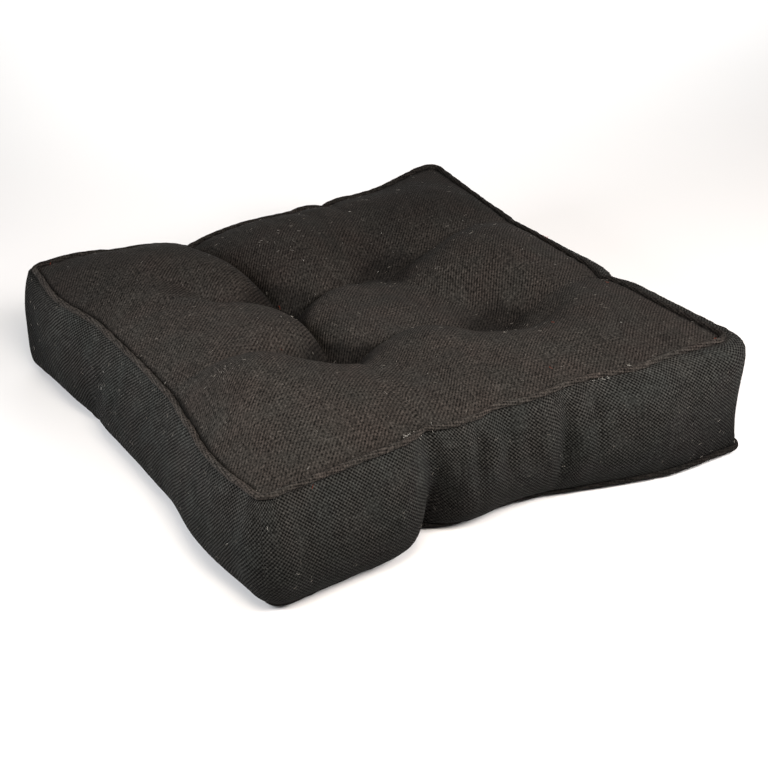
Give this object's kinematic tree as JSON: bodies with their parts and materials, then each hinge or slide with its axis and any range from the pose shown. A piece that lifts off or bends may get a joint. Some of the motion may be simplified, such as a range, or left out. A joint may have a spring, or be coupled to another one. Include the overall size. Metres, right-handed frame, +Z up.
{
  "type": "seat cushion",
  "caption": "Square boxed seat cushion of dark woven canvas, tufted into rounded mounds, with a boxing strip and piped seams.",
  "frame": {"origin": "on the surface that the cushion lies on, under the middle of its outline", "axes": "+X along the front side from its left corner to its right corner, +Y from the front side to the back side, +Z up"},
  "size_m": [0.4332, 0.4284, 0.118],
  "materials": {
    "cover": "matt woven canvas",
    "piping": "matt woven canvas, cut on the bias"
  },
  "bodies": {
    "root": {"cushion_body": "cover", "piping_top": "piping", "piping_bottom": "piping"}
  },
  "joints": []
}
